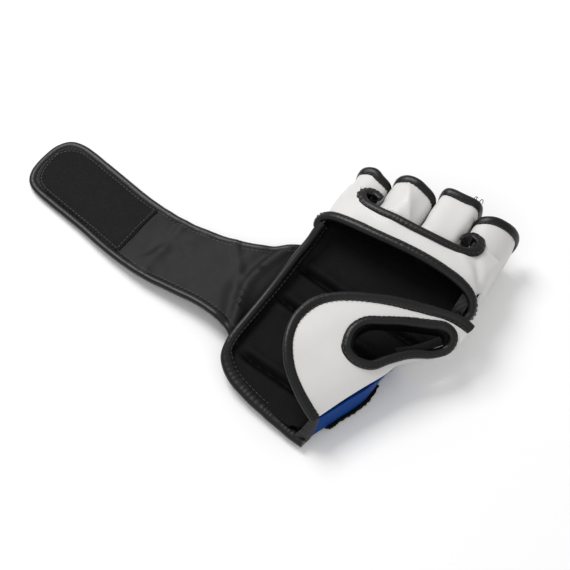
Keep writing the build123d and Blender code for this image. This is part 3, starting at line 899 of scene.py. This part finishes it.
def make_thumb_flap():
    grid = flap_grid(26)
    normals = grid_normals(grid, True) * face_out(grid, UP, True)
    along, inward = flap_place(grid[..., :2])
    dent = bump_at(along, 52, 26) * bump_at(inward, 3, 7)
    roll = bump_at(inward, 44, 10) * bump_at(along, 28, 22)
    height = 0.5 * ripple(grid, 26, 2.0) - 1.0 * dent + 0.8 * roll
    grid = grid + normals * height[..., None]
    panel = sheet("thumb_leather", grid, FLAP_THICK, WHITE, UP, closed=True)
    flap_blend(panel, "white_leather", ["thumb_panel"])
    inside = sheet("thumb_inside", (grid - normals * 1.9)[:-2], 1.0, LINING, UP, closed=True)
    flap_blend(inside, "black_lining", ["thumb_lining"])
    plan = through(FLAP_EDGE, 300)
    path = np.column_stack([plan, flap_height(plan) - 0.5])
    sideways = unit(np.cross(np.gradient(path, axis=0), UP))
    steep = ease(flap_place(path[:, :2])[1], 30, 5)[:, None]
    lean = unit(UP + 0.25 * sideways + np.array([0.8, -0.4, 0]) * steep)
    tape = binding("thumb_edge_tape", path, lean, *FLAP_TAPE, TAPE, seed=5.0, seam=1)
    flap_blend(tape, "black_binding", ["thumb_edge_binding"])
    _, side, up = frames_on(path, lean)
    flap_blend(stitches("thumb_edge_thread", path + side * 2.4 + up * 1.95, lean), "black_binding")
    make_thumb_hole()


def make_thumb_hole():
    loop = through(HOLE, 220, closed=True)
    path = np.column_stack([loop, flap_height(loop) - 0.4])
    _, inward = flap_place(loop)
    tilt = ease(inward, 30, 2)[:, None]
    normals = unit(UP + np.array([0.9, -0.45, 0.0]) * tilt)
    tape = binding("thumb_hole_tape", path, normals, *HOLE_TAPE, TAPE, closed=True, pucker=0.24, seed=6.0)
    flap_blend(tape, "black_binding", ["thumb_hole_binding"])
    _, side, up = frames_on(path, normals, True)
    row = (path - side * 2.0 + up * 1.95)[:-2]
    flap_blend(stitches("thumb_hole_thread", row, normals[:-2]), "black_binding")
    rows = 16
    collar = np.zeros((rows, len(loop), 3))
    middle = loop.mean(axis=0)
    for i, v in enumerate(np.linspace(0, 1, rows)):
        shrink = 1 - 0.14 * ease(v, 0, 0.25) + 0.02 * v
        collar[i, :, :2] = middle + (loop - middle) * shrink * 0.97
        collar[i, :, 2] = path[:, 2] - 0.6 - 11.0 * v * (0.45 + 0.55 * ease(inward, 0, 12))
    collar[..., 2] = np.maximum(collar[..., 2], 19.5)
    collar += (ripple(collar, 9, 8.0) * 0.8)[..., None] * np.array([1, 1, 0.3])
    lining = sheet("thumb_collar", collar, 1.0, LINING, np.array([*HOLE_CENTRE, 30.0]) - collar, closed=True)
    flap_blend(lining, "black_lining")
    lip = through([(41, -64, 29.5), (50, -57.5, 31.5), (58, -50, 34), (63, -44, 35.4)], 40)
    lean = unit(np.tile([0.35, -0.35, 0.9], (40, 1)))
    fold = binding("thumb_hole_fold", lip, lean, 5.4, 3.0, LINING, pucker=0.4, seed=7.0)
    flap_blend(fold, "black_lining")


# ---- wrist strap ----
# Plan of its edge (x, y), from the palm side round the tip to the wrist side
STRAP_EDGE = [
    (-47, -14), (-59, -21.6), (-76, -32), (-97, -39), (-120, -42.5), (-145, -43), (-173, -40),
    (-202, -34), (-230, -28.4), (-243, -27.2), (-252.5, -30), (-258.6, -38), (-261, -48),
    (-261.8, -58), (-260.6, -67), (-256.5, -74), (-248, -78.6), (-232, -82), (-203, -87.4),
    (-173, -94), (-144, -98), (-120, -98), (-95, -97.6), (-72, -101), (-61, -106.5), (-52, -113)]

# A slanted start shifts by its slant over this much of the strap's width
SLANT_SPAN = 50


def strap_place(xy):
    """Distance out from the fold, and place along it."""
    offset = np.asarray(xy) - FOLD_POINT
    return offset @ FOLD_OUT, offset @ FOLD_ALONG


def strap_height(out):
    """Height of the upper face of the strap."""
    return smooth_value(STRAP_CROWN, out)


def strap_plan(out, along):
    """Plan points; the reverse of strap_place."""
    return FOLD_POINT + np.outer(out, FOLD_OUT) + np.outer(along, FOLD_ALONG)


def edge_curves():
    """Upper and lower edge of the strap as (distance out, place along the fold direction)."""
    loop = through(STRAP_EDGE, 900)
    out, along = strap_place(loop)
    tip = int(np.argmax(out))
    upper = np.column_stack([out[:tip + 1], along[:tip + 1]])
    lower = np.column_stack([out[tip:], along[tip:]])[::-1]
    return upper, lower


def strap_grid(start, inset, rows, cols, lift, slant=0.0):
    """Layer of the strap, inset from its edge; a slant shears its start."""
    upper, lower = edge_curves()
    finish = upper[-1, 0] - inset
    spread = np.linspace(0, 1, rows)
    places = start + (finish - start) * np.sin(spread * math.pi / 2) ** 0.8
    grid = np.zeros((rows, cols, 3))
    for i, place in enumerate(places):
        reach = min(place + inset * ease(place, finish - 26, finish), upper[-1, 0] - 0.02)
        top = np.interp(reach, upper[:, 0], upper[:, 1]) - inset
        low = np.interp(reach, lower[:, 0], lower[:, 1]) + inset
        if top < low:
            top = low = (top + low) / 2
        along = np.linspace(low, top, cols)
        shift = slant * (top - along) / SLANT_SPAN * (1 - spread[i]) ** 2
        grid[i, :, :2] = strap_plan(place - shift, along)
        grid[i, :, 2] = strap_height(place) + lift
    return grid


# Fold at the root of the strap (y, x) and its wrinkles: distance out, slope, height
ROOT_FOLD = [(-110, -64), (-96, -65), (-66, -73), (-36, -67), (-20, -58)]
STRAP_WAVES = [(58, 0.35, 0.9), (74, -0.2, 1.0), (88, 0.3, 0.8), (99, -0.1, 0.6)]


def strap_folds(grid):
    """Height of the soft folds and wrinkles of the strap at each grid point."""
    x, y = grid[..., 0], grid[..., 1]
    out, along = strap_place(grid[..., :2])
    root_line = smooth_value(ROOT_FOLD, y)
    root = 2.6 * bump_at(x, root_line, 3.6) - 1.6 * bump_at(x, root_line - 7.5, 5.0)
    second = 1.2 * bump_at(x + 0.85 * (y + 60), -84, 4.0) * ease(out, 2, 14) * ease(out, 60, 36)
    waves = 0
    for centre, slope, size in STRAP_WAVES:
        waves = waves + size * bump_at(out + slope * along, centre, 4.2)
    calm = 1 - 0.85 * ease(out + 0.14 * along, 90, 98)
    soft = 0.5 * ripple(grid, 17, 4.0) + 0.25 * ripple(grid, 6, 8.0)
    return root * (1 - ease(out, 10, 24)) + second + (waves + soft) * calm + 0.15 * soft


# Half the length about each strap joint; its two ends are passed along with each strap piece
STRAP_BENDS = (13.0, 13.0, 13.0, 9.0, 9.0)


def strap_pieces(obj, slot, nodes_of):
    """Cuts a strap layer between its joints; each piece keeps its shading."""
    mesh = obj.data
    count = len(mesh.loops)
    shading = np.zeros(count * 3)
    mesh.corner_normals.foreach_get("vector", shading)
    shading = shading.reshape(-1, 3)
    coordinates = np.array([v.co for v in mesh.vertices]) / MM
    out, _ = strap_place(coordinates[:, :2])
    cuts = [-1e3] + [(a + b) / 2 for a, b in zip(STRAP_JOINTS, STRAP_JOINTS[1:])] + [1e3]
    middle = [np.mean([out[v] for v in face.vertices]) for face in mesh.polygons]
    for k, joint in enumerate(STRAP_JOINTS):
        chosen = [f for f, m in zip(mesh.polygons, middle) if cuts[k] <= m < cuts[k + 1]]
        if not chosen:
            continue
        used = sorted({v for f in chosen for v in f.vertices})
        index = {v: n for n, v in enumerate(used)}
        part = make_object(f"{obj.name}_{k + 1}", coordinates[used],
                           [[index[v] for v in f.vertices] for f in chosen], mesh.materials[0])
        normals = [shading[c].tolist() for f in chosen for c in f.loop_indices]
        if len(part.data.loops) == len(normals):
            part.data.normals_split_custom_set(normals)
        half = STRAP_BENDS[k]
        height = float(strap_height(joint))
        start = strap_plan(np.array([joint - half]), np.array([0.0]))[0]
        end = strap_plan(np.array([joint + half]), np.array([0.0]))[0]
        before = "glove" if k == 0 else f"strap_{k}"
        bending(part, before, f"strap_{k + 1}", (*start, height), (*end, height), slot, nodes_of(k + 1))
    bpy.data.objects.remove(obj)


def make_strap():
    lining = strap_grid(-14, 4.0, 190, 60, -0.9)
    lining[..., 2] += strap_folds(lining)
    lining[..., 2] = np.maximum(lining[..., 2], 3.0)
    strap_pieces(sheet("strap_inner", lining, 1.4, SATIN, UP), "black_lining",
                 lambda k: [f"strap_{k}_lining", f"strap_{k}_foam"])
    cover = lining - np.array([0, 0, 3.2])
    cover[..., 2] = np.maximum(cover[..., 2], 1.2)
    strap_pieces(sheet("strap_outer", cover, 0.9, BLACK, -UP), "black_leather",
                 lambda k: [f"strap_{k}_cover"] + (["strap_root"] if k == 1 else []))
    edge = through(STRAP_EDGE, 520)
    out, _ = strap_place(edge)
    path = np.column_stack([edge, strap_height(out) - 2.2])
    up = np.tile(UP, (len(path), 1))
    _, side, _ = frames_on(path, up)
    path = path - side * 3.0
    path[:, 2] += 0.5 * strap_folds(path)
    path[:, 2] = np.maximum(path[:, 2], 2.9)
    strap_pieces(binding("strap_tape", path, up, *STRAP_TAPE, TAPE, seed=8.0), "black_binding",
                 lambda k: [f"strap_{k}_binding"])
    for number, shift in enumerate((2.7, 0.6)):
        row = path - side * shift + np.array([0, 0, 1.7])
        strap_pieces(stitches(f"strap_thread_{number}", row, up), "black_binding", lambda k: [])
    make_hook_panel()


# Distance out of the hook panel's start, and how far that start slants
HOOK_START = 95.5
HOOK_SLANT = 7.0


def make_hook_panel():
    panel = strap_grid(HOOK_START, 5.8, 110, 50, -0.2, HOOK_SLANT)
    panel[..., 2] += strap_folds(panel) + 0.5
    strap_pieces(sheet("hook_tape", panel, 1.0, HOOK, UP), "hook_plastic",
                 lambda k: [f"hook_panel_{k}"] if k >= 3 else [])
    rim = strap_grid(HOOK_START + 1.6, 7.0, 60, 40, 0.1, HOOK_SLANT)
    loop = np.vstack([rim[:, 0], rim[-1:, 1:-1].reshape(-1, 3), rim[::-1, -1], rim[0, ::-1]])
    loop[:, 2] += strap_folds(loop) + 0.5
    keep = np.concatenate([[True], np.linalg.norm(np.diff(loop, axis=0), axis=1) > 0.05])
    loop = loop[keep]
    up = np.tile(UP, (len(loop), 1))
    seam = stitches("hook_thread", loop, up, pitch=3.0, length=2.4, radius=0.3)
    strap_pieces(seam, "hook_plastic", lambda k: [])


# ---- floor, light and camera, in metres ----
VIEW_AZIMUTH, VIEW_ELEVATION = math.radians(32), math.radians(61)
VIEW_DISTANCE = 0.925
VIEW_TARGET = Vector((-0.052, -0.052, 0.012))
LENS_MM = 85.0
SENSOR_MM = 36.0
FLOOR_SIZE = 8.0
FLOOR_DROP = 0.0003
WORLD_STRENGTH = 0.6
LIGHT_TARGET = Vector((-0.03, -0.05, 0))
# Name, place, size and power in watts of each area light
LIGHTS = [("key", (-0.75, 0.25, 1.15), 0.6, 12.0), ("fill", (0.5, -0.9, 1.0), 1.2, 2.5)]


def make_stage():
    bpy.ops.mesh.primitive_plane_add(size=FLOOR_SIZE, location=(0, 0, -FLOOR_DROP))
    floor = bpy.context.object
    floor.name = "floor"
    floor.data.materials.append(new_material("floor", (0.93, 0.93, 0.93), 0.9)[0])
    world = bpy.data.worlds.new("studio")
    world.use_nodes = True
    sky = world.node_tree.nodes["Background"]
    sky.inputs["Color"].default_value = (1, 1, 1, 1)
    sky.inputs["Strength"].default_value = WORLD_STRENGTH
    bpy.context.scene.world = world
    for light in LIGHTS:
        add_light(*light)


def add_light(name, place, size, power):
    data = bpy.data.lights.new(name, "AREA")
    data.size = size
    data.energy = power
    light = bpy.data.objects.new(name, data)
    light.location = place
    light.rotation_mode = "QUATERNION"
    light.rotation_quaternion = (LIGHT_TARGET - Vector(place)).to_track_quat("-Z", "Y")
    bpy.context.scene.collection.objects.link(light)


def make_camera():
    a, e = VIEW_AZIMUTH, VIEW_ELEVATION
    back = Vector((math.sin(a) * math.cos(e), -math.cos(a) * math.cos(e), math.sin(e)))
    data = bpy.data.cameras.new("camera")
    data.lens = LENS_MM
    data.sensor_width = SENSOR_MM
    camera = bpy.data.objects.new("camera", data)
    camera.location = VIEW_TARGET + back * VIEW_DISTANCE
    camera.rotation_mode = "QUATERNION"
    camera.rotation_quaternion = (-back).to_track_quat("-Z", "Y")
    bpy.context.scene.collection.objects.link(camera)
    bpy.context.scene.camera = camera
    bpy.context.scene.view_settings.view_transform = "Standard"


make_stage()
make_camera()
make_back_cover()
make_cuff_cover()
make_back_lining()
make_edge_binding()
make_loop_patch()
make_palm_band()
make_band_bindings()
make_elastic_tab()
for finger, shape in SLEEVES.items():
    make_sleeve(finger, *shape)
make_frayed_threads()
make_thumb_flap()
make_strap()
